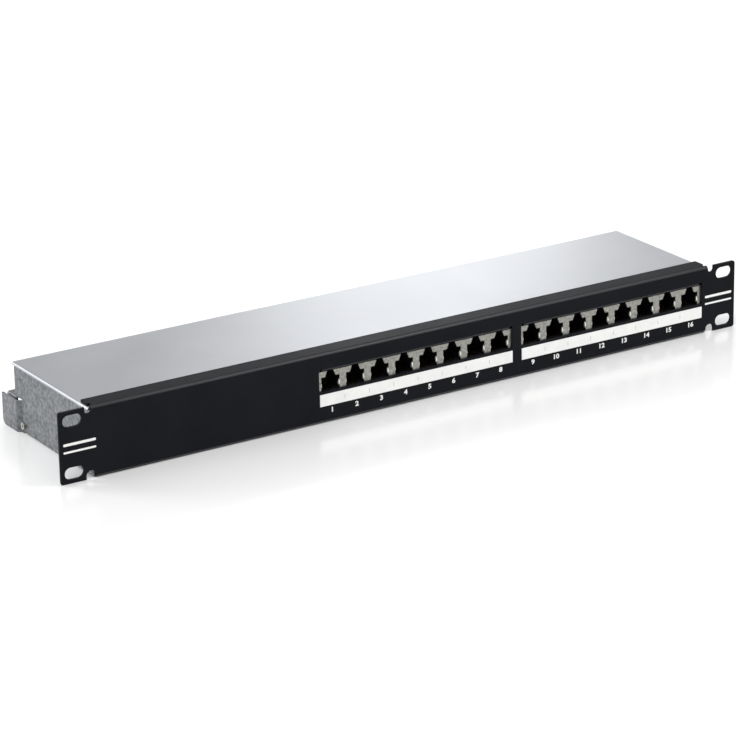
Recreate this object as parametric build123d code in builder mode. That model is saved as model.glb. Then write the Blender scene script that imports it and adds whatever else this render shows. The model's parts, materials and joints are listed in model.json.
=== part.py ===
from build123d import *
import os

# A one-unit, 19 inch patch panel with sixteen shielded 8P8C jacks in two banks of eight.
# Millimetres. The origin is the middle of the rack mounting plane, which is the rear face of
# the ears. +X runs to the right as seen from the front, +Y into the rack, +Z up.

# Rack interface, one unit high
panel_width = 482.6
panel_height = 44.0
rack_hole_spacing_x = 465.1
rack_hole_spacing_z = 31.75
rack_slot_length = 12.3
rack_slot_width = 7.2

# Front panel, one bent steel sheet
panel_sheet = 1.5
panel_bend_inner = 0.7
panel_flange_depth = 11.8
ear_width = 20.6
ear_corner_radius = 1.6
flange_corner_radius = 2.0
top_notch_width = 4.3
top_notch_overlap = 0.6
top_notch_depth = 4.1
bottom_notch_width = 6.4
bottom_notch_depth = 5.2
bottom_notch_overlap = 2.2
flange_relief_width = 2.2
flange_relief_length = 3.0
flange_relief_start = 0.9

# Ports
ports_per_bank = 8
port_pitch = 17.31
window_margin = 8.7
window_gap = 6.6
window_side_margin = 5.4
window_bottom = -2.15
window_lip_bottom = 10.1
window_lip_inset = 2.2
opening_width = 12.8
opening_bottom = -2.6
opening_shoulder = 6.3
latch_slot_base_width = 7.4
latch_slot_top_width = 4.4

# Face plates and label strips
face_plate_sheet = 0.5
face_plate_overlap = 1.7
face_plate_bottom = -4.0
face_plate_top_gap = 0.2
ground_finger_sheet = 0.4
ground_finger_length = 7.0
ground_finger_bottom = -1.2
ground_finger_top = 3.2
label_strip_thickness = 0.5
label_strip_side_gap = 0.2
label_strip_top = -3.75
label_strip_height = 7.35

# Tray, one bent galvanised sheet
tray_sheet = 1.2
tray_bend_inner = 0.4
tray_depth = 95.7
tray_side_inset = 0.6
tray_bottom_gap = 0.1
tray_flange_gap = 0.4
front_tab_width = 9.4
front_tab_lip_gap = 0.2
return_flange_width = 16.9
return_flange_slit = 1.2
rear_upstand_height = 8.7
rear_upstand_end_gap = 18.0

# Wings, the joggled rear ends of the tray's walls
wing_top = -2.2
wing_start_inset = 7.3
wing_joggle_length = 2.0
wing_joggle_out = 2.4
wing_bend_inner = 0.2
wing_overhang = 13.3
wing_corner_radius = 4.0
wing_floor_relief = 3.0

# Cover, one bent sheet
cover_sheet = 1.0
cover_bend_inner = 0.5
cover_lip_height = 1.8
cover_front_clear = 0.4
cover_rear_flange_height = 10.9
cover_rear_edge_radius = 0.9
cover_flange_end_gap = 3.0
cover_clear = 0.1

# Cover thumb screws and ground stud on the return flanges
cover_screw_inset = 12.1
cover_screw_drop = 7.4
cover_screw_radius = 1.5
cover_screw_running_clear = 0.06
cover_screw_hole_clear = 0.25
cover_screw_length = 9.0
cover_screw_head_radius = 4.0
cover_screw_head_length = 6.0
cover_screw_grooves = 20
cover_screw_groove_radius = 0.4
cover_screw_slot = 1.0
ground_stud_radius = 2.0
ground_stud_base_radius = 2.5
ground_stud_chamfer = 0.5
ground_stud_drop = 9.5
ground_stud_length = 10.0
ground_stud_inset = 11.1
ground_nut_flats = 8.0
ground_nut_height = 3.2

# Cable tie bar
bar_sheet = 1.2
bar_bend_inner = 0.4
bar_gap = 1.3
bar_arm_reach = 16.5
bar_arm_step = 5.8
bar_lip_depth = 6.0
bar_lip_end_gap = 3.0
tie_finger_width = 12.0
tie_finger_neck_width = 8.0
tie_finger_head_length = 3.5
tie_finger_length = 8.0
side_screw_height = 4.9
side_screw_radius = 1.45
side_screw_head_radius = 2.0
side_screw_head_height = 1.4
side_screw_length = 6.0
side_screw_recess_width = 0.6
side_screw_recess_length = 2.4

# Studs on the panel and their nuts
stud_radius = 1.5
stud_length = 8.0
stud_inset = 6.5
stud_hole_clear = 0.2
stud_nut_flats = 5.5
stud_nut_height = 2.4

# Jacks
housing_front_clear = 0.05
housing_wall = 0.95
housing_depth = 20.75
housing_bottom = -5.6
housing_roof = 1.5
cavity_depth = 15.0
cavity_side_gap = 0.2
shield_sheet = 0.25

# Contact springs, eight in each jack
spring_count = 8
spring_pitch = 1.016
spring_width = 0.45
spring_thickness = 0.3
spring_pivot_y = 4.5
spring_pivot_z = -2.9
spring_reach = 8.0
spring_rise = 3.5
spring_curl = 0.9
spring_root = 0.5
spring_pocket_depth = 1.1
spring_pocket_side = 0.4

# Circuit boards
board_thickness = 1.6
board_front = 2.5
board_depth = 59.5
board_edge_margin = 10.4
lead_radius = 0.35
lead_hole_radius = 0.5
lead_pitch = 1.27
lead_row_spacing = 2.54
lead_front_row = 13.0
lead_protrusion = 1.4

# Board fixings
standoff_flats = 5.5
standoff_spigot_radius = 2.1
board_screw_radius = 1.5
board_screw_head_radius = 2.75
board_screw_head_height = 2.0
board_screw_length = 6.6
board_screw_slot = 0.8
board_hole_clear = 0.2
standoff_edge = 7.0
standoff_gap = 5.5
standoff_row_spacing = 31.5

# Insulation displacement blocks, one behind each jack
idc_width = 15.0
idc_gap = 11.5
idc_depth = 20.0
idc_base_height = 4.0
idc_ridge_depth = 5.0
idc_ridge_height = 10.0
idc_ridge_spacing = 11.0
idc_contact_pitch = 3.4
idc_contacts_per_ridge = 4
idc_wire_slot = 0.9
idc_wire_slot_depth = 6.5
idc_contact_width = 2.0
idc_contact_sheet = 0.4
idc_contact_height = 8.8
idc_contact_slit = 0.4
idc_contact_slit_depth = 4.5
idc_pocket_clear = 0.1

# Heights and faces that the pieces share
panel_front = -panel_sheet
panel_top = panel_height / 2
panel_bottom = -panel_height / 2
panel_bend_outer = panel_bend_inner + panel_sheet
body_half_width = panel_width / 2 - ear_width
flange_underside = panel_top - panel_sheet
window_width = (ports_per_bank - 1) * port_pitch + 2 * window_margin
window_top = window_lip_bottom + panel_bend_outer
right_bank_x = body_half_width - window_side_margin - window_width / 2
left_bank_x = right_bank_x - window_width - window_gap
face_plate_top = window_lip_bottom - face_plate_top_gap
cover_top = flange_underside - cover_clear
cover_bend_outer = cover_bend_inner + cover_sheet
tray_outer = body_half_width - tray_side_inset
tray_inner = tray_outer - tray_sheet
tray_bottom = panel_bottom + tray_bottom_gap
tray_floor = tray_bottom + tray_sheet
tray_top = cover_top - cover_bend_outer
tray_bend_outer = tray_bend_inner + tray_sheet
front_tab_height = tray_top - window_top - front_tab_lip_gap
front_tab_middle_z = tray_top - front_tab_height / 2
wing_start = tray_depth - wing_start_inset
wing_rear = tray_depth + wing_overhang
wing_bend_outer = wing_bend_inner + tray_sheet
return_flange_bottom = wing_top + return_flange_slit
cover_outer = tray_outer + cover_clear + cover_sheet
cover_rear = tray_depth + cover_clear + cover_sheet
cover_front = panel_bend_inner + cover_front_clear
cover_rear_flange_bottom = cover_top - cover_rear_flange_height
return_flange_inner = tray_inner - return_flange_width
cover_screw_x = tray_outer - cover_screw_inset
cover_screw_z = cover_top - cover_screw_drop
ground_point = (-tray_outer + ground_stud_inset, cover_screw_z - ground_stud_drop)
bar_front = tray_depth + bar_gap
bar_arm_front = bar_front - bar_arm_reach
bar_arm_top_front = wing_top - bar_arm_step
side_screw_y = wing_start - wing_bend_outer / 2 - side_screw_head_radius
side_screw_point = (side_screw_y, tray_bottom + side_screw_height)
stud_x = body_half_width - stud_inset
board_top = housing_bottom
board_bottom = board_top - board_thickness
housing_top = face_plate_top + housing_roof
housing_front = max(face_plate_sheet, panel_bend_inner) + housing_front_clear
housing_rear = housing_front + housing_depth
board_width = (ports_per_bank - 1) * port_pitch + 2 * board_edge_margin
standoff_spacing_x = board_width - 2 * standoff_edge
standoff_middle_y = housing_rear + standoff_gap + standoff_row_spacing / 2
idc_middle_y = housing_rear + idc_gap + idc_depth / 2
cavity_width = opening_width + 2 * (ground_finger_sheet + cavity_side_gap)
housing_width = cavity_width + 2 * housing_wall
past = 1.0

banks = {"left": left_bank_x, "right": right_bank_x}


def at_y(y):
    """The XZ plane at a given Y. Its extrusions run forwards, towards -Y."""
    return Plane.XZ.offset(-y)


def port_centres(bank_x):
    """X of each port in a bank, from left to right."""
    first = bank_x - (ports_per_bank - 1) * port_pitch / 2
    return [first + number * port_pitch for number in range(ports_per_bank)]


def bent_section(plane, outer_line, sheet, bend_outer, side):
    """Section of a bent sheet, drawn from the line of its outer face."""
    with BuildSketch(plane) as section:
        with BuildLine():
            FilletPolyline(*outer_line, radius=bend_outer)
            offset(amount=sheet, side=side)
        make_face()
    return section.sketch


def jack_opening(plane, points, width):
    """Outline of a jack's mouth with the latch slot upwards, once at each point."""
    with BuildSketch(plane) as mouth:
        with Locations(*points):
            with Locations((0, (opening_bottom + opening_shoulder) / 2)):
                Rectangle(width, opening_shoulder - opening_bottom)
            Polygon(
                (-latch_slot_base_width / 2, opening_shoulder),
                (latch_slot_base_width / 2, opening_shoulder),
                (latch_slot_top_width / 2, face_plate_top),
                (-latch_slot_top_width / 2, face_plate_top),
                align=None,
            )
    return mouth.sketch


def save(builder, name):
    """Label a finished piece and write its STEP file."""
    builder.part.label = name
    export_step(builder.part, f"parts/{name}.step")


os.makedirs("parts", exist_ok=True)


# Front panel: a channel section between the ears, with two windows whose top edge rolls back
with BuildPart() as front_panel:
    channel_line = [
        (panel_flange_depth, panel_bottom),
        (panel_front, panel_bottom),
        (panel_front, panel_top),
        (panel_flange_depth, panel_top),
    ]
    channel_plane = Plane.YZ.offset(-body_half_width)
    channel = bent_section(channel_plane, channel_line, panel_sheet, panel_bend_outer, Side.RIGHT)
    extrude(channel, amount=2 * body_half_width)
    flange_corners = edges().filter_by(Axis.Z).group_by(Axis.Y)[-1]
    fillet(flange_corners, radius=flange_corner_radius)

    for ear_side in (-1, 1):
        with BuildSketch(Plane.XZ):
            with Locations((ear_side * (panel_width - ear_width) / 2, 0)):
                Rectangle(ear_width, panel_height)
            outer_corners = vertices().group_by(Axis.X)[0 if ear_side < 0 else -1]
            fillet(outer_corners, radius=ear_corner_radius)
        extrude(amount=panel_sheet)
    with BuildSketch(Plane.XZ):
        with GridLocations(rack_hole_spacing_x, rack_hole_spacing_z, 2, 2):
            SlotOverall(rack_slot_length, rack_slot_width)
    extrude(amount=panel_sheet, mode=Mode.SUBTRACT)

    top_notch_x = body_half_width - top_notch_overlap + top_notch_width / 2
    bottom_notch_x = body_half_width - bottom_notch_overlap + bottom_notch_width / 2
    with BuildSketch(at_y(panel_flange_depth + past)):
        with Locations((-top_notch_x, panel_top), (top_notch_x, panel_top)):
            SlotOverall(2 * top_notch_depth, top_notch_width, rotation=90)
        with Locations((-bottom_notch_x, panel_bottom), (bottom_notch_x, panel_bottom)):
            SlotOverall(2 * bottom_notch_depth, bottom_notch_width, rotation=90)
    extrude(amount=panel_flange_depth + panel_sheet + 2 * past, mode=Mode.SUBTRACT)

    relief_x = body_half_width - flange_relief_width / 2
    with BuildSketch(Plane.XY.offset(flange_underside - past)):
        with Locations((-relief_x, flange_relief_start), (relief_x, flange_relief_start)):
            Rectangle(flange_relief_width, flange_relief_length, align=(Align.CENTER, Align.MIN))
    extrude(amount=panel_sheet + 2 * past, mode=Mode.SUBTRACT)

    with BuildSketch(Plane.XZ):
        for bank_x in banks.values():
            with Locations((bank_x, (window_bottom + window_top) / 2)):
                Rectangle(window_width, window_top - window_bottom)
    extrude(amount=panel_sheet, mode=Mode.SUBTRACT)
    lip_centre = (panel_front + panel_bend_outer, window_top)
    lip_length = window_width - 2 * window_lip_inset
    for bank_x in banks.values():
        with BuildSketch(Plane.YZ.offset(bank_x - lip_length / 2)):
            with Locations(lip_centre):
                Circle(panel_bend_outer)
                Circle(panel_bend_inner, mode=Mode.SUBTRACT)
                Rectangle(panel_bend_outer, panel_bend_outer, align=(Align.MAX, Align.MAX),
                          mode=Mode.INTERSECT)
        extrude(amount=lip_length)
save(front_panel, "front_panel")


# Bottom tray: floor, two walls, front tabs, rear return flanges and joggled wings
with BuildPart() as bottom_tray:
    tray_line = [
        (-tray_outer, tray_top),
        (-tray_outer, tray_bottom),
        (tray_outer, tray_bottom),
        (tray_outer, tray_top),
    ]
    trough = bent_section(at_y(tray_depth), tray_line, tray_sheet, tray_bend_outer, Side.LEFT)
    extrude(trough, amount=tray_depth)
    floor_front = panel_flange_depth + tray_flange_gap
    with BuildSketch(Plane.XY.offset(tray_bottom - past)):
        Rectangle(2 * tray_inner, 2 * floor_front)
    extrude(amount=tray_sheet + tray_bend_outer + past, mode=Mode.SUBTRACT)

    tab_x = tray_inner - front_tab_width / 2
    with BuildSketch(at_y(tray_sheet)):
        with GridLocations(2 * tab_x, 2 * front_tab_middle_z, 2, 2):
            Rectangle(front_tab_width + tray_sheet / 2, front_tab_height)
    extrude(amount=tray_sheet)
    with BuildSketch(at_y(tray_sheet)):
        with GridLocations(2 * stud_x, 2 * front_tab_middle_z, 2, 2):
            Circle(stud_radius + stud_hole_clear)
    extrude(amount=tray_sheet, mode=Mode.SUBTRACT)

    return_x = (return_flange_inner + tray_outer) / 2
    with BuildSketch(at_y(tray_depth)):
        with Locations((-return_x, return_flange_bottom), (return_x, return_flange_bottom)):
            Rectangle(tray_outer - return_flange_inner, tray_top - return_flange_bottom,
                      align=(Align.CENTER, Align.MIN))
    extrude(amount=tray_sheet)
    with BuildSketch(at_y(tray_depth)):
        with Locations((0, tray_bottom)):
            Rectangle(2 * (tray_inner - rear_upstand_end_gap), tray_sheet + rear_upstand_height,
                      align=(Align.CENTER, Align.MIN))
    extrude(amount=tray_sheet)

    relief_start = wing_start - tray_bend_outer
    with BuildSketch(Plane.XY.offset(tray_bottom - past)):
        with Locations((-tray_outer, relief_start), (tray_outer, relief_start)):
            Rectangle(2 * wing_floor_relief, tray_depth, align=(Align.CENTER, Align.MIN))
    extrude(amount=return_flange_bottom - tray_bottom + past, mode=Mode.SUBTRACT)
    for wing_side, offset_side in ((-1, Side.RIGHT), (1, Side.LEFT)):
        wing_out = tray_outer + wing_joggle_out
        wing_line = [
            (wing_side * tray_outer, relief_start),
            (wing_side * tray_outer, wing_start),
            (wing_side * wing_out, wing_start + wing_joggle_length),
            (wing_side * wing_out, wing_rear),
        ]
        wing_plane = Plane.XY.offset(tray_bottom)
        wing = bent_section(wing_plane, wing_line, tray_sheet, wing_bend_outer, offset_side)
        extrude(wing, amount=wing_top - tray_bottom)
    wing_corners = edges().filter_by(Axis.X).group_by(Axis.Y)[-1].sort_by(Axis.Z)[:2]
    fillet(wing_corners, radius=wing_corner_radius)

    with BuildSketch(at_y(tray_depth)):
        with Locations((-cover_screw_x, cover_screw_z), (cover_screw_x, cover_screw_z)):
            Circle(cover_screw_radius + cover_screw_running_clear)
        with Locations(ground_point):
            Circle(ground_stud_base_radius)
    extrude(amount=tray_sheet, mode=Mode.SUBTRACT)
    with BuildSketch(Plane.YZ.offset(-tray_outer)):
        with Locations(side_screw_point):
            Circle(side_screw_radius)
    extrude(amount=2 * tray_outer, mode=Mode.SUBTRACT)
    with BuildSketch(Plane.XY.offset(tray_bottom)):
        for bank_x in banks.values():
            with Locations((bank_x, standoff_middle_y)):
                with GridLocations(standoff_spacing_x, standoff_row_spacing, 2, 2):
                    Circle(standoff_spigot_radius)
    extrude(amount=tray_sheet, mode=Mode.SUBTRACT)
save(bottom_tray, "bottom_tray")


# Top cover: slides in under the panel's top flange, with side lips and a rear flange
with BuildPart() as top_cover:
    cover_line = [
        (-cover_outer, cover_top - cover_lip_height),
        (-cover_outer, cover_top),
        (cover_outer, cover_top),
        (cover_outer, cover_top - cover_lip_height),
    ]
    lid = bent_section(at_y(cover_rear), cover_line, cover_sheet, cover_bend_outer, Side.RIGHT)
    extrude(lid, amount=cover_rear - cover_front)
    with BuildSketch(at_y(cover_rear)):
        with Locations((0, cover_top - cover_sheet / 2)):
            Rectangle(2 * (cover_outer - cover_flange_end_gap),
                      cover_top - cover_sheet / 2 - cover_rear_flange_bottom,
                      align=(Align.CENTER, Align.MAX))
    extrude(amount=cover_sheet)
    rear_top_edge = edges().filter_by(Axis.X).group_by(Axis.Y)[-1].sort_by(Axis.Z)[-1]
    fillet(rear_top_edge, radius=cover_rear_edge_radius)
    with BuildSketch(at_y(cover_rear)):
        with Locations((-cover_screw_x, cover_screw_z), (cover_screw_x, cover_screw_z)):
            Circle(cover_screw_radius + cover_screw_hole_clear)
    extrude(amount=cover_sheet, mode=Mode.SUBTRACT)
save(top_cover, "top_cover")


# Captive thumb screws: a knurled, slotted head behind the cover's rear flange
for screw_name, screw_side in (("left", -1), ("right", 1)):
    head_front = cover_rear + cover_clear
    head_rear = head_front + cover_screw_head_length
    screw_point = (screw_side * cover_screw_x, cover_screw_z)
    with BuildPart() as cover_screw:
        with BuildSketch(at_y(head_rear)):
            with Locations(screw_point):
                Circle(cover_screw_head_radius)
                with PolarLocations(cover_screw_head_radius, cover_screw_grooves):
                    Circle(cover_screw_groove_radius, mode=Mode.SUBTRACT)
        extrude(amount=cover_screw_head_length)
        with BuildSketch(at_y(head_rear)):
            with Locations(screw_point):
                Rectangle(2 * cover_screw_head_radius, cover_screw_slot)
        extrude(amount=cover_screw_slot, mode=Mode.SUBTRACT)
        with BuildSketch(at_y(head_front)):
            with Locations(screw_point):
                Circle(cover_screw_radius)
        extrude(amount=cover_screw_length)
    save(cover_screw, f"cover_screw_{screw_name}")


# Cable tie bar: a shelf with a row of tie fingers, an arm at each end and a stiffening lip
with BuildPart() as cable_tie_bar:
    bar_bottom = tray_floor + tray_bend_inner
    bar_line = [
        (-tray_inner, bar_bottom),
        (-tray_inner, wing_top),
        (tray_inner, wing_top),
        (tray_inner, bar_bottom),
    ]
    bar_bend_outer = bar_bend_inner + bar_sheet
    shelf = bent_section(at_y(wing_rear), bar_line, bar_sheet, bar_bend_outer, Side.RIGHT)
    extrude(shelf, amount=wing_rear - bar_front)
    arm_x = tray_inner - bar_sheet
    for arm_side in (-1, 1):
        arm_plane = Plane.YZ.offset(-tray_inner if arm_side < 0 else arm_x)
        with BuildSketch(arm_plane):
            with Locations((bar_front, bar_bottom)):
                Rectangle(bar_front - bar_arm_front, bar_arm_top_front - bar_bottom,
                          align=(Align.MAX, Align.MIN))
        extrude(amount=bar_sheet)
    with BuildSketch(at_y(bar_front + bar_sheet)):
        with Locations((0, wing_top - bar_sheet)):
            Rectangle(2 * (arm_x - bar_lip_end_gap), bar_lip_depth,
                      align=(Align.CENTER, Align.MAX))
    extrude(amount=bar_sheet)

    neck_front = wing_rear - tie_finger_length
    with BuildSketch(Plane.XY.offset(wing_top - bar_sheet)):
        for bank_x in banks.values():
            with Locations((bank_x, neck_front)):
                Rectangle(ports_per_bank * port_pitch, tie_finger_length + past,
                          align=(Align.CENTER, Align.MIN))
            with Locations(*[(port_x, neck_front) for port_x in port_centres(bank_x)]):
                Rectangle(tie_finger_neck_width, tie_finger_length,
                          align=(Align.CENTER, Align.MIN), mode=Mode.SUBTRACT)
            with Locations(*[(port_x, wing_rear) for port_x in port_centres(bank_x)]):
                Rectangle(tie_finger_width, tie_finger_head_length,
                          align=(Align.CENTER, Align.MAX), mode=Mode.SUBTRACT)
    extrude(amount=bar_sheet, mode=Mode.SUBTRACT)
    with BuildSketch(Plane.YZ.offset(-tray_inner)):
        with Locations(side_screw_point):
            Circle(side_screw_radius)
    extrude(amount=2 * tray_inner, mode=Mode.SUBTRACT)
save(cable_tie_bar, "cable_tie_bar")


# Side screws, which hold the tie bar's arms to the tray's walls
with BuildPart() as side_screws:
    for screw_side in (-1, 1):
        head_x = tray_outer if screw_side > 0 else -tray_outer - side_screw_head_height
        shank_x = tray_outer - side_screw_length if screw_side > 0 else -tray_outer
        with BuildSketch(Plane.YZ.offset(head_x)):
            with Locations(side_screw_point):
                Circle(side_screw_head_radius)
        extrude(amount=side_screw_head_height)
        with BuildSketch(Plane.YZ.offset(shank_x)):
            with Locations(side_screw_point):
                Circle(side_screw_radius)
        extrude(amount=side_screw_length)
        recess_x = head_x + side_screw_head_height / 2 if screw_side > 0 else head_x
        with BuildSketch(Plane.YZ.offset(recess_x)):
            with Locations(side_screw_point):
                Rectangle(side_screw_recess_length, side_screw_recess_width)
                Rectangle(side_screw_recess_width, side_screw_recess_length)
        extrude(amount=side_screw_head_height / 2, mode=Mode.SUBTRACT)
save(side_screws, "side_screws")


# Studs welded to the rear of the panel, and the nuts that hold the tray's front tabs
with BuildPart() as panel_studs:
    with BuildSketch(at_y(stud_length)):
        with GridLocations(2 * stud_x, 2 * front_tab_middle_z, 2, 2):
            Circle(stud_radius)
    extrude(amount=stud_length)
save(panel_studs, "panel_studs")

with BuildPart() as panel_nuts:
    with BuildSketch(at_y(tray_sheet + stud_nut_height)):
        with GridLocations(2 * stud_x, 2 * front_tab_middle_z, 2, 2):
            RegularPolygon(stud_nut_flats / 2, 6, major_radius=False)
            Circle(stud_radius, mode=Mode.SUBTRACT)
    extrude(amount=stud_nut_height)
save(panel_nuts, "panel_nuts")


# Ground stud and nut on the left return flange: the nut sits on the stud's thicker base
with BuildPart() as ground_stud:
    with BuildSketch(at_y(tray_depth + ground_stud_length)):
        with Locations(ground_point):
            Circle(ground_stud_radius)
    extrude(amount=ground_stud_length - ground_nut_height)
    chamfer(edges().sort_by(Axis.Y)[-1], length=ground_stud_chamfer)
    with BuildSketch(at_y(tray_depth + ground_nut_height)):
        with Locations(ground_point):
            Circle(ground_stud_base_radius)
    extrude(amount=ground_nut_height + tray_sheet)
save(ground_stud, "ground_stud")

with BuildPart() as ground_nut:
    with BuildSketch(at_y(tray_depth + ground_nut_height)):
        with Locations(ground_point):
            RegularPolygon(ground_nut_flats / 2, 6, major_radius=False)
            Circle(ground_stud_base_radius, mode=Mode.SUBTRACT)
    extrude(amount=ground_nut_height)
save(ground_nut, "ground_nut")


# One of each of these for the left bank and one for the right
for bank, bank_x in banks.items():
    ports = port_centres(bank_x)
    ports_on_front = [(port_x, 0) for port_x in ports]

    # Face plate: one mouth a port, with a grounding finger folded back at each side of it
    with BuildPart() as jack_face_plate:
        with BuildSketch(at_y(face_plate_sheet)):
            with Locations((bank_x, face_plate_bottom)):
                Rectangle(window_width + 2 * face_plate_overlap, face_plate_top - face_plate_bottom,
                          align=(Align.CENTER, Align.MIN))
        extrude(amount=face_plate_sheet)
        mouths = jack_opening(at_y(face_plate_sheet), ports_on_front, opening_width)
        extrude(mouths, amount=face_plate_sheet, mode=Mode.SUBTRACT)
        finger_x = (opening_width + ground_finger_sheet) / 2
        with BuildSketch(at_y(ground_finger_length)):
            with Locations(*ports_on_front):
                with Locations((-finger_x, ground_finger_bottom), (finger_x, ground_finger_bottom)):
                    Rectangle(ground_finger_sheet, ground_finger_top - ground_finger_bottom,
                              align=(Align.CENTER, Align.MIN))
        extrude(amount=ground_finger_length)
    save(jack_face_plate, f"jack_face_plate_{bank}")

    # Label strip, stuck on the panel under the window
    with BuildPart() as label_strip:
        with BuildSketch(Plane.XZ.offset(panel_sheet)):
            with Locations((bank_x, label_strip_top)):
                Rectangle(window_width - 2 * label_strip_side_gap, label_strip_height,
                          align=(Align.CENTER, Align.MAX))
        extrude(amount=label_strip_thickness)
    save(label_strip, f"label_strip_{bank}")

    # Shields: a thin can over each housing's top, sides and back
    with BuildPart() as jack_shields:
        shield_width = housing_width + 2 * shield_sheet
        shield_rear = housing_rear + shield_sheet
        with BuildSketch(at_y(shield_rear)):
            with Locations(*ports_on_front):
                with Locations((0, housing_bottom)):
                    Rectangle(shield_width, housing_top + shield_sheet - housing_bottom,
                              align=(Align.CENTER, Align.MIN))
        extrude(amount=housing_depth + shield_sheet)
        with BuildSketch(at_y(shield_rear - shield_sheet)):
            with Locations(*ports_on_front):
                with Locations((0, housing_bottom)):
                    Rectangle(housing_width, housing_top - housing_bottom,
                              align=(Align.CENTER, Align.MIN))
        extrude(amount=housing_depth, mode=Mode.SUBTRACT)
    save(jack_shields, f"jack_shields_{bank}")

    # Leads: two staggered rows of pins from each jack down through the board
    lead_points = []
    for port_x in ports:
        for lead in range(spring_count):
            lead_x = port_x + (lead - (spring_count - 1) / 2) * lead_pitch
            lead_points.append((lead_x, lead_front_row + (lead % 2) * lead_row_spacing))
    with BuildPart() as jack_leads:
        with BuildSketch(Plane.XY.offset(board_bottom - lead_protrusion)):
            with Locations(*lead_points):
                Circle(lead_radius)
        extrude(amount=lead_protrusion + board_thickness)
    save(jack_leads, f"jack_leads_{bank}")

    # Circuit board
    with BuildPart() as circuit_board:
        with BuildSketch(Plane.XY.offset(board_bottom)):
            with Locations((bank_x, board_front)):
                Rectangle(board_width, board_depth, align=(Align.CENTER, Align.MIN))
            with Locations((bank_x, standoff_middle_y)):
                with GridLocations(standoff_spacing_x, standoff_row_spacing, 2, 2):
                    Circle(board_screw_radius + board_hole_clear, mode=Mode.SUBTRACT)
            with Locations(*lead_points):
                Circle(lead_hole_radius, mode=Mode.SUBTRACT)
        extrude(amount=board_thickness)
    save(circuit_board, f"circuit_board_{bank}")

    # Insulation displacement blocks: a base with two ridges, slotted for the wires
    idc_points = [(port_x, idc_middle_y) for port_x in ports]
    ridge_base = board_top + idc_base_height
    ridge_top = ridge_base + idc_ridge_height
    with BuildPart() as idc_blocks:
        with BuildSketch(Plane.XY.offset(board_top)):
            with Locations(*idc_points):
                Rectangle(idc_width, idc_depth)
        extrude(amount=idc_base_height)
        with BuildSketch(Plane.XY.offset(ridge_base)):
            with Locations(*idc_points):
                with GridLocations(0, idc_ridge_spacing, 1, 2):
                    Rectangle(idc_width, idc_ridge_depth)
        extrude(amount=idc_ridge_height)
        with BuildSketch(Plane.XY.offset(ridge_top - idc_wire_slot_depth)):
            with Locations(*idc_points):
                with GridLocations(idc_contact_pitch, idc_ridge_spacing, idc_contacts_per_ridge, 2):
                    Rectangle(idc_wire_slot, idc_ridge_depth)
        extrude(amount=idc_wire_slot_depth, mode=Mode.SUBTRACT)
        with BuildSketch(Plane.XY.offset(ridge_base)):
            with Locations(*idc_points):
                with GridLocations(idc_contact_pitch, idc_ridge_spacing, idc_contacts_per_ridge, 2):
                    Rectangle(idc_contact_width + 2 * idc_pocket_clear,
                              idc_contact_sheet + 2 * idc_pocket_clear)
        extrude(amount=idc_ridge_height, mode=Mode.SUBTRACT)
    save(idc_blocks, f"idc_blocks_{bank}")

    # Their contacts: forked plates that stand in the ridges
    with BuildPart() as idc_contacts:
        with BuildSketch(Plane.XY.offset(ridge_base)):
            with Locations(*idc_points):
                with GridLocations(idc_contact_pitch, idc_ridge_spacing, idc_contacts_per_ridge, 2):
                    Rectangle(idc_contact_width, idc_contact_sheet)
        extrude(amount=idc_contact_height)
        with BuildSketch(Plane.XY.offset(ridge_base + idc_contact_height)):
            with Locations(*idc_points):
                with GridLocations(idc_contact_pitch, idc_ridge_spacing, idc_contacts_per_ridge, 2):
                    Rectangle(idc_contact_slit, idc_contact_sheet)
        extrude(amount=-idc_contact_slit_depth, mode=Mode.SUBTRACT)
    save(idc_contacts, f"idc_contacts_{bank}")


# Board fixings: hex standoffs swaged into the tray's floor, and the screws on top
with BuildPart() as board_standoffs:
    for bank_x in banks.values():
        with BuildSketch(Plane.XY.offset(tray_floor)):
            with Locations((bank_x, standoff_middle_y)):
                with GridLocations(standoff_spacing_x, standoff_row_spacing, 2, 2):
                    RegularPolygon(standoff_flats / 2, 6, major_radius=False)
        extrude(amount=board_bottom - tray_floor)
        with BuildSketch(Plane.XY.offset(tray_bottom)):
            with Locations((bank_x, standoff_middle_y)):
                with GridLocations(standoff_spacing_x, standoff_row_spacing, 2, 2):
                    Circle(standoff_spigot_radius)
        extrude(amount=tray_sheet)
        with BuildSketch(Plane.XY.offset(tray_bottom)):
            with Locations((bank_x, standoff_middle_y)):
                with GridLocations(standoff_spacing_x, standoff_row_spacing, 2, 2):
                    Circle(board_screw_radius)
        extrude(amount=board_bottom - tray_bottom, mode=Mode.SUBTRACT)
save(board_standoffs, "board_standoffs")

with BuildPart() as board_screws:
    for bank_x in banks.values():
        with BuildSketch(Plane.XY.offset(board_top)):
            with Locations((bank_x, standoff_middle_y)):
                with GridLocations(standoff_spacing_x, standoff_row_spacing, 2, 2):
                    Circle(board_screw_head_radius)
        extrude(amount=board_screw_head_height)
        with BuildSketch(Plane.XY.offset(board_top + board_screw_head_height / 2)):
            with Locations((bank_x, standoff_middle_y)):
                with GridLocations(standoff_spacing_x, standoff_row_spacing, 2, 2):
                    Rectangle(2 * board_screw_head_radius, board_screw_slot)
        extrude(amount=board_screw_head_height / 2, mode=Mode.SUBTRACT)
        with BuildSketch(Plane.XY.offset(board_top - board_screw_length)):
            with Locations((bank_x, standoff_middle_y)):
                with GridLocations(standoff_spacing_x, standoff_row_spacing, 2, 2):
                    Circle(board_screw_radius)
        extrude(amount=board_screw_length)
save(board_screws, "board_screws")


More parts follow.
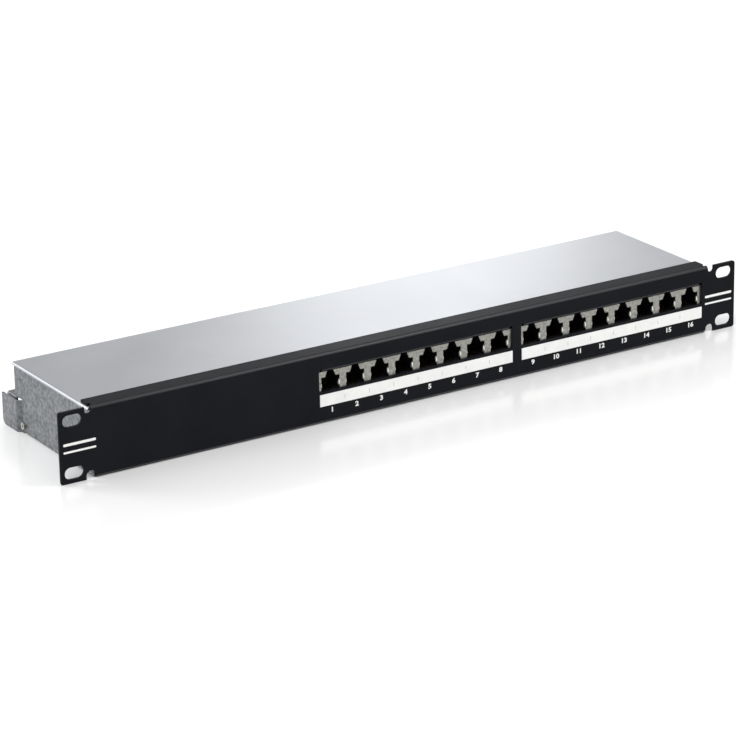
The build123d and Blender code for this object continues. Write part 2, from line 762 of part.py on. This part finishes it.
# Sixteen jacks: a housing with its cavity, and a row of eight contact springs inside it
all_ports = port_centres(left_bank_x) + port_centres(right_bank_x)
spring_row_width = (spring_count - 1) * spring_pitch + spring_width
for number, port_x in enumerate(all_ports, start=1):
    with BuildPart() as jack_housing:
        with BuildSketch(at_y(housing_rear)):
            with Locations((port_x, housing_bottom)):
                Rectangle(housing_width, housing_top - housing_bottom,
                          align=(Align.CENTER, Align.MIN))
        extrude(amount=housing_depth)
        cavity_rear = housing_front + cavity_depth
        cavity = jack_opening(at_y(cavity_rear), [(port_x, 0)], cavity_width)
        extrude(cavity, amount=cavity_depth, mode=Mode.SUBTRACT)
        pocket_front = spring_pivot_y - spring_root - spring_pocket_side
        with BuildSketch(Plane.XY.offset(opening_bottom)):
            with Locations((port_x, pocket_front)):
                Rectangle(spring_row_width + 2 * spring_pocket_side, cavity_rear - pocket_front,
                          align=(Align.CENTER, Align.MIN))
        extrude(amount=-spring_pocket_depth, mode=Mode.SUBTRACT)
    save(jack_housing, f"jack_housing_{number:02d}")

    spring_tip = (spring_pivot_y + spring_reach, spring_pivot_z + spring_rise)
    with BuildPart() as contact_springs:
        for spring in range(spring_count):
            spring_x = port_x + (spring - (spring_count - 1) / 2) * spring_pitch
            with BuildSketch(Plane.YZ.offset(spring_x - spring_width / 2)):
                with BuildLine():
                    Polyline(
                        (spring_pivot_y - spring_root, spring_pivot_z),
                        (spring_pivot_y, spring_pivot_z),
                        spring_tip,
                        (spring_tip[0] + spring_curl, spring_tip[1] - spring_curl),
                    )
                    offset(amount=spring_thickness, side=Side.RIGHT)
                make_face()
            extrude(amount=spring_width)
    save(contact_springs, f"contact_springs_{number:02d}")
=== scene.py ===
import json
import math

import bpy
from mathutils import Matrix, Vector


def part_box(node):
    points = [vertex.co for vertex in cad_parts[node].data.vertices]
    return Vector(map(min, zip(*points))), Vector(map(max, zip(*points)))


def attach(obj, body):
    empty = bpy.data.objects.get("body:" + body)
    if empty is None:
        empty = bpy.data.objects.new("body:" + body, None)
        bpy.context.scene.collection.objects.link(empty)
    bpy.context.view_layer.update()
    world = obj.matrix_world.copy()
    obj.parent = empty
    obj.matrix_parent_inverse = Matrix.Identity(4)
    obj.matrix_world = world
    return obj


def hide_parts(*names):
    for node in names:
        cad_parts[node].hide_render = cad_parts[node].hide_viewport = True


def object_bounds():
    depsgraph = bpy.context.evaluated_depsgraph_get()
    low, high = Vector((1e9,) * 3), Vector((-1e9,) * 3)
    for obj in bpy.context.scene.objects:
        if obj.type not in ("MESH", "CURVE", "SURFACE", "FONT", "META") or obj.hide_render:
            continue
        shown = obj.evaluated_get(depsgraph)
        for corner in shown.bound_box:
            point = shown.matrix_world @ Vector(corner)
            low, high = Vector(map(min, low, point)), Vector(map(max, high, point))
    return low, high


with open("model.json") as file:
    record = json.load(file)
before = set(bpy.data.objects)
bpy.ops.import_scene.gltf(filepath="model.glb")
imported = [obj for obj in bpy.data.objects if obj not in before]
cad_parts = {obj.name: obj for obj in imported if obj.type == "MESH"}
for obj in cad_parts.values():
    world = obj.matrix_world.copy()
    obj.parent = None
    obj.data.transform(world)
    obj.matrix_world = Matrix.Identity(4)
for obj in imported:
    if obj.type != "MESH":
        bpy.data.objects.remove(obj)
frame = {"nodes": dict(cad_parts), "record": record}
cad_low, cad_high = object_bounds()

MM = 0.001
nodes = frame["nodes"]
BODY_OF = {node: body for body, members in frame["record"]["behaviour"]["bodies"].items() for node in members}
SLOT_OF = {part["node"]: part["material_slot"] for part in frame["record"]["subparts"]}
BANKS = ("left", "right")
PORTS_OF = {"left": range(1, 9), "right": range(9, 17)}
PORTS = range(1, 17)
# The four wire pairs' usual colours, each as a darker and a lighter tone.
WIRE_COLOURS = {"blue": ("#2350a0", "#2c5cb0"), "orange": ("#d9731c", "#e58328"),
                "green": ("#2a7f38", "#358f45"), "brown": ("#60402a", "#6e4b33")}


# ---------------------------------------------------------------- camera, floor and light

def make_camera():
    """A long lens from the front left, a little above the panel."""
    place = (-1.06069, -1.64472, 0.70480)
    azimuth, elevation, roll = (math.radians(angle) for angle in (-31.99, 19.82, -1.03))
    back = Vector((math.sin(azimuth) * math.cos(elevation),
                   -math.cos(azimuth) * math.cos(elevation),
                   math.sin(elevation)))
    level = Vector((math.cos(azimuth), math.sin(azimuth), 0))
    upward = back.cross(level)
    right = math.cos(roll) * level + math.sin(roll) * upward
    up = math.cos(roll) * upward - math.sin(roll) * level
    turn = Matrix((right, up, back)).transposed()
    lens = bpy.data.cameras.new("camera")
    lens.lens = 169.08
    lens.sensor_width = 36
    camera = bpy.data.objects.new("camera", lens)
    camera.matrix_world = Matrix.Translation(place) @ turn.to_4x4()
    bpy.context.scene.collection.objects.link(camera)
    bpy.context.scene.camera = camera


def place_light(name, light, place, aim):
    """Put a light at a place, aimed at a point. The camera doesn't see it."""
    lamp = bpy.data.objects.new(name, light)
    lamp.location = place
    lamp.rotation_euler = (Vector(aim) - Vector(place)).to_track_quat("-Z", "Y").to_euler()
    lamp.visible_camera = False
    bpy.context.scene.collection.objects.link(lamp)


def make_softbox(name, place, aim, size, brightness):
    """A rectangular area light. Its power grows with its area, so its size doesn't change its brightness."""
    light = bpy.data.lights.new(name, "AREA")
    light.shape = "RECTANGLE"
    light.size, light.size_y = size
    light.energy = brightness * math.pi * size[0] * size[1]
    place_light(name, light, place, aim)


def make_key_light(place, spread, strength):
    """A broad, distant light that reaches the whole floor evenly."""
    light = bpy.data.lights.new("key_light", "SUN")
    light.angle = math.radians(spread)
    light.energy = strength
    place_light("key_light", light, place, (0, 0, 0))


def make_world(seen_strength, lit_strength):
    """An even white surround, seen at one strength and lighting the object at a lower one."""
    world = bpy.data.worlds.new("studio")
    bpy.context.scene.world = world
    world.use_nodes = True
    tree = world.node_tree
    tree.nodes.clear()
    seen = add_node(tree, "ShaderNodeBackground", {"Color": (1, 1, 1, 1), "Strength": seen_strength})
    lit = add_node(tree, "ShaderNodeBackground", {"Color": (1, 1, 1, 1), "Strength": lit_strength})
    path = add_node(tree, "ShaderNodeLightPath")
    mix = add_node(tree, "ShaderNodeMixShader",
                   {0: path.outputs["Is Camera Ray"], 1: lit.outputs[0], 2: seen.outputs[0]})
    add_node(tree, "ShaderNodeOutputWorld", {"Surface": mix.outputs[0]})


# ---------------------------------------------------------------- materials

# Socket places of a Mix node that mixes colours.
MIX_SHARE, MIX_LOW, MIX_HIGH, MIX_COLOUR = 0, 6, 7, 2


def linear(hex_code):
    """sRGB hex to linear RGBA."""
    channels = [int(hex_code[at:at + 2], 16) / 255 for at in (1, 3, 5)]
    return (*[c / 12.92 if c <= 0.04045 else ((c + 0.055) / 1.055) ** 2.4 for c in channels], 1)


def add_node(tree, kind, sockets=None, **settings):
    """Add a node. Settings are its properties; each socket takes a value or another node's output."""
    made = tree.nodes.new(kind)
    for name, value in settings.items():
        setattr(made, name, value)
    for name, value in (sockets or {}).items():
        if isinstance(value, bpy.types.NodeSocket):
            tree.links.new(value, made.inputs[name])
        else:
            made.inputs[name].default_value = value
    return made


def per_mm(size):
    """Texture scale for a pattern that repeats every size millimetres."""
    return 1 / (size * MM)


def surface(name, low, high, patch_mm, rough, grain_mm, depth_mm, stretch=(1, 1, 1), contrast=(0.35, 0.65),
            **shader):
    """A material with two close tones in patches, gloss that follows them, and a fine grain in relief.

    patch_mm and grain_mm are the real sizes of the patches and the grain, depth_mm the grain's height,
    and rough is the roughness of the low and the high tone. stretch squeezes the grain along an axis.
    Further settings are the shader's own.
    """
    material = bpy.data.materials.new(name)
    material.use_nodes = True
    tree = material.node_tree
    tree.nodes.clear()
    place = add_node(tree, "ShaderNodeTexCoord").outputs["Object"]
    patch = add_node(tree, "ShaderNodeTexNoise",
                     {"Vector": place, "Scale": per_mm(patch_mm), "Detail": 4.0, "Roughness": 0.6})
    share = add_node(tree, "ShaderNodeMapRange",
                     {"Value": patch.outputs["Fac"], "From Min": contrast[0], "From Max": contrast[1]})
    colour = add_node(tree, "ShaderNodeMix", data_type="RGBA", sockets={
        MIX_SHARE: share.outputs["Result"], MIX_LOW: linear(low), MIX_HIGH: linear(high)})
    gloss = add_node(tree, "ShaderNodeMapRange",
                     {"Value": share.outputs["Result"], "To Min": rough[0], "To Max": rough[1]})
    squeezed = add_node(tree, "ShaderNodeMapping", {"Vector": place, "Scale": stretch})
    grain = add_node(tree, "ShaderNodeTexNoise",
                     {"Vector": squeezed.outputs[0], "Scale": per_mm(grain_mm), "Detail": 3.0})
    relief = add_node(tree, "ShaderNodeBump",
                      {"Height": grain.outputs["Fac"], "Strength": 0.3, "Distance": depth_mm * MM})
    principled = add_node(tree, "ShaderNodeBsdfPrincipled", {
        "Base Color": colour.outputs[MIX_COLOUR], "Roughness": gloss.outputs["Result"],
        "Normal": relief.outputs["Normal"], **shader})
    add_node(tree, "ShaderNodeOutputMaterial", {"Surface": principled.outputs[0]})
    return material


def make_materials():
    """Every finish on the object, by the record's material slot or by its own name."""
    return {
        # Polyester powder coat, stoved on steel: near black and satin, with a fine orange peel.
        "black_panel": surface("powder_coated_steel", "#17181b", "#1b1c20", 45, (0.46, 0.52), 0.9, 0.02,
                               **{"Specular IOR Level": 0.04}),
        # The same coat where the sheet is folded: drawn smooth and rubbed to a shine.
        "rubbed_panel": surface("rubbed_powder_coat", "#17181b", "#1b1c20", 45, (0.3, 0.34), 0.9, 0.01,
                                **{"Specular IOR Level": 0.4}),
        # Hot-dip galvanised steel: dull zinc with a fine grey mottle, one to two millimetres across.
        "galvanised_tray": surface("galvanised_steel", "#424548", "#8c8f92", 2.4, (0.5, 0.4), 0.9, 0.015,
                                   contrast=(0.25, 0.75), Metallic=0.7),
        # Zinc-coated steel, skin passed: bright and even, with a faint rolling grain along the case.
        "zinc_cover": surface("skin_passed_zinc", "#a7a9ad", "#afb1b5", 60, (0.4, 0.44), 0.8, 0.004,
                              stretch=(0.04, 1, 1), Metallic=1.0),
        # Nickel-plated steel fasteners: warm, bright and smooth.
        "nickel_hardware": surface("nickel_plated_steel", "#a8a6a0", "#c0beb8", 2, (0.2, 0.3), 0.3, 0.005,
                                   Metallic=1.0),
        # Electrolytic tin plate: light warm grey with dull patches from handling and forming.
        "tin_plate": surface("tin_plated_steel", "#807f79", "#b0afa8", 1.8, (0.5, 0.32), 0.5, 0.01,
                             contrast=(0.3, 0.7), Metallic=0.9),
        # The same tin where plugs rub it: polished bright.
        "burnished_tin": surface("burnished_tin_plate", "#f0efeb", "#faf9f5", 1.2, (0.36, 0.3), 0.5, 0.003,
                                 Metallic=0.8),
        # Write-on polyester film: matt white, hardly glossy.
        "white_label": surface("matt_label_film", "#ececea", "#f3f3f1", 8, (0.5, 0.6), 0.3, 0.002),
        # Solder mask, printed green over glass-epoxy board: glossy, with the weave just showing.
        "board_laminate": surface("green_solder_mask", "#0c3a1e", "#125230", 9, (0.18, 0.3), 1.1, 0.01),
        # Free-cutting brass, turned: yellow and bright.
        "brass_standoff": surface("turned_brass", "#b08f4c", "#c9a862", 2, (0.2, 0.32), 0.25, 0.005,
                                  Metallic=1.0),
        # Tin-dipped copper leads: silvery and slightly frosted.
        "tinned_lead": surface("tinned_copper", "#b3b3b0", "#cfcfcc", 0.8, (0.28, 0.4), 0.2, 0.005,
                               Metallic=1.0),
        # Polycarbonate wiring blocks, moulded white: a soft gloss.
        "white_block": surface("moulded_polycarbonate", "#dcdbd3", "#e6e5de", 9, (0.3, 0.4), 0.5, 0.005),
        # Phosphor bronze, stamped and tin flashed: dull copper brown.
        "bronze_contact": surface("stamped_phosphor_bronze", "#a5815c", "#c4a27d", 1.2, (0.25, 0.38), 0.3,
                                  0.003, Metallic=1.0),
        # Glass-filled polyester, moulded black: satin.
        "black_housing": surface("moulded_black_polyester", "#08090a", "#101112", 6, (0.35, 0.5), 0.4, 0.006),
        # Gold over nickel on the contact wires.
        "gold_spring": surface("gold_plated_wire", "#cf9f45", "#e6ba62", 1.5, (0.18, 0.28), 0.3, 0.002,
                               Metallic=1.0),
        # White screen-printing ink: matt and slightly raised.
        "printed_white": surface("white_printing_ink", "#e8e8e6", "#f2f2f0", 3, (0.5, 0.6), 0.3, 0.002),
        # Pale grey printing ink on the label film.
        "printed_grey": surface("grey_printing_ink", "#a9a9a7", "#b7b7b5", 3, (0.5, 0.6), 0.3, 0.002),
        # Coloured marking inks on the wiring blocks.
        **{f"printed_{colour}": surface(f"{colour}_marking_ink", *tones, 3, (0.45, 0.55), 0.3, 0.002)
           for colour, tones in WIRE_COLOURS.items()},
        # Painted chipboard, lacquered white, under the object.
        "floor": surface("white_lacquered_board", "#f4f4f4", "#f6f6f6", 900, (0.16, 0.2), 40, 0.01, IOR=1.7),
    }


# ---------------------------------------------------------------- modelling tools

# Points nearer than this, in millimetres, are one point.
SAME_POINT = 0.002
# Faces that meet at less than this, in degrees, are one face.
SAME_FACE = 0.5
# Edges sharper than this, in degrees, are rounded.
SHARP_EDGE = 35


def select_only(*pieces):
    """Leave object mode with just these pieces selected, the first one active."""
    bpy.ops.object.select_all(action="DESELECT")
    for piece in pieces:
        piece.select_set(True)
    bpy.context.view_layer.objects.active = pieces[0]


def apply_modifier(piece, kind, **settings):
    """Add a modifier with its settings and apply it."""
    select_only(piece)
    modifier = piece.modifiers.new(kind.lower(), kind)
    for name, value in settings.items():
        setattr(modifier, name, value)
    bpy.ops.object.modifier_apply(modifier=modifier.name)


def copy_by(piece, offset, name=None):
    """A copy with a mesh of its own, moved by an offset."""
    twin = piece.copy()
    twin.data = piece.data.copy()
    twin.data.transform(Matrix.Translation(offset))
    if name:
        twin.name = name
    bpy.context.scene.collection.objects.link(twin)
    return twin


def join(pieces):
    """Join pieces into the first of them."""
    select_only(*pieces)
    bpy.ops.object.join()
    return pieces[0]


def finish(piece, name, material, body, smooth=30):
    """Put the place into the mesh, shade it, paint it and hang it on its body."""
    select_only(piece)
    bpy.ops.object.transform_apply(location=True, rotation=True, scale=True)
    bpy.ops.object.shade_smooth_by_angle(angle=math.radians(smooth))
    piece.name = name
    piece.data.name = name
    piece.data.materials.clear()
    piece.data.materials.append(material)
    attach(piece, body)
    return piece


def round_edges(node, radius, segments=2, cut_behind=None):
    """Replace a CAD node with a copy whose sharp edges are rounded by radius millimetres.

    cut_behind is a Y past which the copy is cut off.
    """
    piece = bpy.data.objects.new(f"finished_{node}", nodes[node].data.copy())
    bpy.context.scene.collection.objects.link(piece)
    select_only(piece)
    bpy.ops.object.mode_set(mode="EDIT")
    bpy.ops.mesh.select_all(action="SELECT")
    bpy.ops.mesh.remove_doubles(threshold=SAME_POINT * MM)
    bpy.ops.mesh.dissolve_limited(angle_limit=math.radians(SAME_FACE))
    if cut_behind is not None:
        bpy.ops.mesh.select_all(action="SELECT")
        bpy.ops.mesh.bisect(plane_co=(0, cut_behind, 0), plane_no=(0, 1, 0), clear_outer=True, use_fill=True)
    bpy.ops.object.mode_set(mode="OBJECT")
    apply_modifier(piece, "BEVEL", width=radius * MM, segments=segments, limit_method="ANGLE",
                   angle_limit=math.radians(SHARP_EDGE), use_clamp_overlap=True)
    bpy.ops.object.shade_smooth()
    apply_modifier(piece, "WEIGHTED_NORMAL", weight=80)
    slot = SLOT_OF[node]
    piece.data.materials.clear()
    piece.data.materials.append(materials[slot])
    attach(piece, BODY_OF[node])
    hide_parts(node)
    return piece


def shine_bends(panel):
    """Give the panel's folds the shine that bending and handling rub into the paint.

    A fold runs along X, so its faces look neither along X nor squarely forwards or upwards.
    """
    most_along_x = 0.1
    least_slant = 0.25
    panel.data.materials.append(materials["rubbed_panel"])
    for face in panel.data.polygons:
        slant = min(abs(face.normal.y), abs(face.normal.z))
        if abs(face.normal.x) < most_along_x and slant > least_slant:
            face.material_index = 1


# ---------------------------------------------------------------- printed marks

def bank_of(port):
    """The bank of jacks that a port is in."""
    return next(bank for bank in BANKS if port in PORTS_OF[bank])


def port_middle(port):
    """X of a port's middle."""
    low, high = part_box(f"jack_housing_{port:02d}")
    return (low.x + high.x) / 2


def print_port_numbers(height, drop, width_share, boldness, ink):
    """Numbers 1 to 16 in white ink on the panel, their middles a drop below the label strips.

    height is a numeral's, width_share its width against the font's own, boldness how far its outline
    is spread, and ink how thick the ink is on each side of the panel's face.
    """
    numeral_share = 0.72
    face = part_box("front_panel")[0].y
    for port in PORTS:
        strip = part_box(f"label_strip_{bank_of(port)}")[0]
        bpy.ops.object.text_add(location=(port_middle(port), face, strip.z - drop * MM),
                                rotation=(math.pi / 2, 0, 0))
        number = bpy.context.object
        number.data.body = str(port)
        number.data.align_x = "CENTER"
        number.data.align_y = "CENTER"
        number.data.size = height / numeral_share * MM
        number.scale.x = width_share
        number.data.offset = boldness * MM
        number.data.extrude = ink * MM
        number.data.resolution_u = 3
        select_only(number)
        bpy.ops.object.convert(target="MESH")
        finish(bpy.context.object, f"port_number_{port:02d}", materials["printed_white"], "case")


def print_bar(place, size, turn=(math.pi / 2, 0, 0)):
    """A plain printed bar with round corners about a place. Unless it is turned, it looks forwards."""
    corner_share = 0.45
    ink = 0.03 * MM
    bpy.ops.mesh.primitive_plane_add(size=1, location=place, rotation=turn)
    bar = bpy.context.object
    bar.scale = (*size, 1)
    bpy.ops.object.transform_apply(location=True, rotation=True, scale=True)
    apply_modifier(bar, "BEVEL", affect="VERTICES", width=min(size) * corner_share, segments=4)
    apply_modifier(bar, "SOLIDIFY", thickness=ink, offset=1)
    return bar


def print_label_ticks(width, height):
    """Faint upright ticks on each label strip, midway between its ports."""
    for bank in BANKS:
        low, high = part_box(f"label_strip_{bank}")
        middle = (low.z + high.z) / 2
        tick = print_bar((0, low.y, middle), (width * MM, height * MM))
        ticks = []
        for port in PORTS_OF[bank][:-1]:
            ticks.append(copy_by(tick, ((port_middle(port) + port_middle(port + 1)) / 2, 0, 0)))
        bpy.data.objects.remove(tick)
        finish(join(ticks), f"label_ticks_{bank}", materials["printed_grey"], "case")


def print_ear_rules(inset, rules):
    """Plain white rules on each ear, inset from its end. Each is a length, a top and a bottom."""
    low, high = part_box("front_panel")
    for bank, side in zip(BANKS, (-1, 1)):
        bars = []
        for length, top, bottom in rules:
            x = side * (high.x - (inset + length / 2) * MM)
            bars.append(print_bar((x, low.y, (top + bottom) / 2 * MM), (length * MM, (top - bottom) * MM)))
        finish(join(bars), f"ear_rules_{bank}", materials["printed_white"], "case")


def print_wiring_colours(reach, drop, pitch, height):
    """A coloured bar for each wire, low on every block's ridges: whole on the rear face, striped in front.

    reach is from the block's middle to the ridges' outer faces, drop from their tops to the bars'
    middle, and pitch the spacing of the contacts.
    """
    whole_share, stripe_share, stripe_shift = 0.7, 0.25, 0.25
    middle_step = (len(WIRE_COLOURS) - 1) / 2
    whole = print_bar((0, 0, 0), (whole_share * pitch * MM, height * MM), turn=(-math.pi / 2, 0, 0))
    stripe = print_bar((0, 0, 0), (stripe_share * pitch * MM, height * MM))
    for step, colour in enumerate(WIRE_COLOURS):
        marks = []
        for port in PORTS:
            low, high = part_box(f"idc_blocks_{bank_of(port)}")
            x = port_middle(port) + (step - middle_step) * pitch * MM
            middle, z = (low.y + high.y) / 2, high.z - drop * MM
            marks.append(copy_by(whole, (x, middle + reach * MM, z)))
            for shift in (-stripe_shift, stripe_shift):
                marks.append(copy_by(stripe, (x + shift * pitch * MM, middle - reach * MM, z)))
        finish(join(marks), f"wiring_marks_{colour}", materials[f"printed_{colour}"], "case")
    for pattern in (whole, stripe):
        bpy.data.objects.remove(pattern)


# ---------------------------------------------------------------- jacks

def make_grounding_springs(reach, bottom, top, depth, bulge, sheet):
    """Sprung fingers at both sides of each mouth, each with a dimple that touches the plug.

    reach is from a mouth's middle to its fingers, bottom and top are the dimples' ends in Z, depth is
    how far the fingers run behind the face, bulge is how far a dimple stands out, and sheet is its
    thickness. Each face plate is replaced with a copy whose fingers are cut to that depth.
    """
    height = top - bottom
    for bank in BANKS:
        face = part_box(f"jack_face_plate_{bank}")[0].y
        round_edges(f"jack_face_plate_{bank}", 0.06, cut_behind=face + depth * MM)
        bpy.ops.mesh.primitive_uv_sphere_add(segments=24, ring_count=12, radius=1,
                                             scale=(bulge * MM, depth / 2 * MM, height / 2 * MM))
        dimple = bpy.context.object
        bpy.ops.object.transform_apply(location=True, rotation=True, scale=True)
        bpy.ops.object.mode_set(mode="EDIT")
        bpy.ops.mesh.select_all(action="SELECT")
        bpy.ops.mesh.bisect(plane_co=(0, 0, 0), plane_no=(1, 0, 0), clear_inner=True)
        bpy.ops.object.mode_set(mode="OBJECT")
        apply_modifier(dimple, "SOLIDIFY", thickness=sheet * MM, offset=-1)
        other = copy_by(dimple, (0, 0, 0))
        other.data.transform(Matrix.Rotation(math.pi, 4, "Z"))
        springs = []
        y = face + depth / 2 * MM
        z = (bottom + top) / 2 * MM
        for port in PORTS_OF[bank]:
            x = port_middle(port)
            springs.append(copy_by(dimple, (x - reach * MM, y, z)))
            springs.append(copy_by(other, (x + reach * MM, y, z)))
        for piece in (dimple, other):
            bpy.data.objects.remove(piece)
        finish(join(springs), f"grounding_springs_{bank}", materials["burnished_tin"], "case",
               smooth=60)


def make_contact_wires(wire, pitch, count, first_in):
    """Round sprung wires in each jack, bent up from the root and curled at the tip.

    wire is their diameter, pitch their spacing, and first_in how far the first one's middle is from
    the end of the CAD's comb.
    """
    low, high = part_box("contact_springs_01")
    first_x = low.x + first_in * MM
    bpy.ops.curve.primitive_bezier_curve_add()
    spring = bpy.context.object
    line = spring.data.splines[0]
    line.bezier_points.add(2)
    # Y and Z of the root, the start of the rise, the hump and the curled tip, inside the CAD wire's box.
    route = ((low.y + 0.1 * MM, low.z + 0.15 * MM), (low.y + 0.9 * MM, low.z + 0.25 * MM),
             (high.y - 1.3 * MM, high.z - 0.35 * MM), (high.y - 0.2 * MM, high.z - 0.95 * MM))
    for point, (y, z) in zip(line.bezier_points, route):
        point.handle_left_type = point.handle_right_type = "AUTO"
        point.co = (first_x, y, z)
    spring.data.resolution_u = 8
    spring.data.bevel_depth = wire / 2 * MM
    spring.data.bevel_resolution = 2
    spring.data.use_fill_caps = True
    spring.location = (0, 0, 0)
    select_only(spring)
    bpy.ops.object.convert(target="MESH")
    spring = bpy.context.object
    comb = join([spring, *[copy_by(spring, (step * pitch * MM, 0, 0)) for step in range(1, count)]])
    for port in PORTS:
        node = f"contact_springs_{port:02d}"
        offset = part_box(node)[0].x - low.x
        wires = copy_by(comb, (offset, 0, 0))
        finish(wires, f"contact_wires_{port:02d}", materials["gold_spring"], BODY_OF[node],
               smooth=60)
        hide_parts(node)
    bpy.data.objects.remove(comb)


# ---------------------------------------------------------------- build

materials = make_materials()
make_camera()
make_world(seen_strength=1.1, lit_strength=0.85)
make_key_light(place=(-0.9, -0.8, 2.0), spread=24, strength=0.9)
make_softbox("rear_softbox", place=(0.62, 0.95, 0.38), aim=(0.05, 0.04, 0.02), size=(0.3, 0.45),
             brightness=2.5)
make_softbox("left_softbox", place=(-1.0, 0.95, 0.55), aim=(-0.22, 0.05, 0.02), size=(0.5, 0.5),
             brightness=8)
make_softbox("right_softbox", place=(0.9, -0.75, 1.4), aim=(0, 0, 0), size=(0.4, 0.4), brightness=11)

bpy.ops.object.select_all(action="DESELECT")
floor_width = 12
bpy.ops.mesh.primitive_plane_add(size=floor_width, location=(0, 0, cad_low.z))
floor = bpy.context.object
floor.name = "floor"
floor.data.materials.append(materials["floor"])

for node, slot in SLOT_OF.items():
    mesh = nodes[node].data
    mesh.materials.clear()
    mesh.materials.append(materials[slot])

shine_bends(round_edges("front_panel", radius=0.25))
round_edges("bottom_tray", radius=0.15)
round_edges("top_cover", radius=0.15)
round_edges("cable_tie_bar", radius=0.15)
for side in BANKS:
    round_edges(f"cover_screw_{side}", radius=0.25)
    round_edges(f"idc_blocks_{side}", radius=0.15)
round_edges("side_screws", radius=0.4, segments=4)
round_edges("panel_nuts", radius=0.25)
round_edges("ground_nut", radius=0.3)
round_edges("ground_stud", radius=0.15)
round_edges("board_screws", radius=0.25)

print_port_numbers(height=3.0, drop=3.3, width_share=1.15, boldness=0.15, ink=0.02)
print_label_ticks(width=0.3, height=2.6)
print_ear_rules(inset=2.4, rules=((21, 2.6, 1.0), (21, -2.2, -3.4)))
print_wiring_colours(reach=8, drop=8.3, pitch=3.4, height=2.6)
make_grounding_springs(reach=6.4, bottom=-1.0, top=3.0, depth=2.0, bulge=0.7, sheet=0.2)
make_contact_wires(wire=0.36, pitch=1.016, count=8, first_in=0.225)

bpy.context.scene.view_settings.view_transform = "Standard"
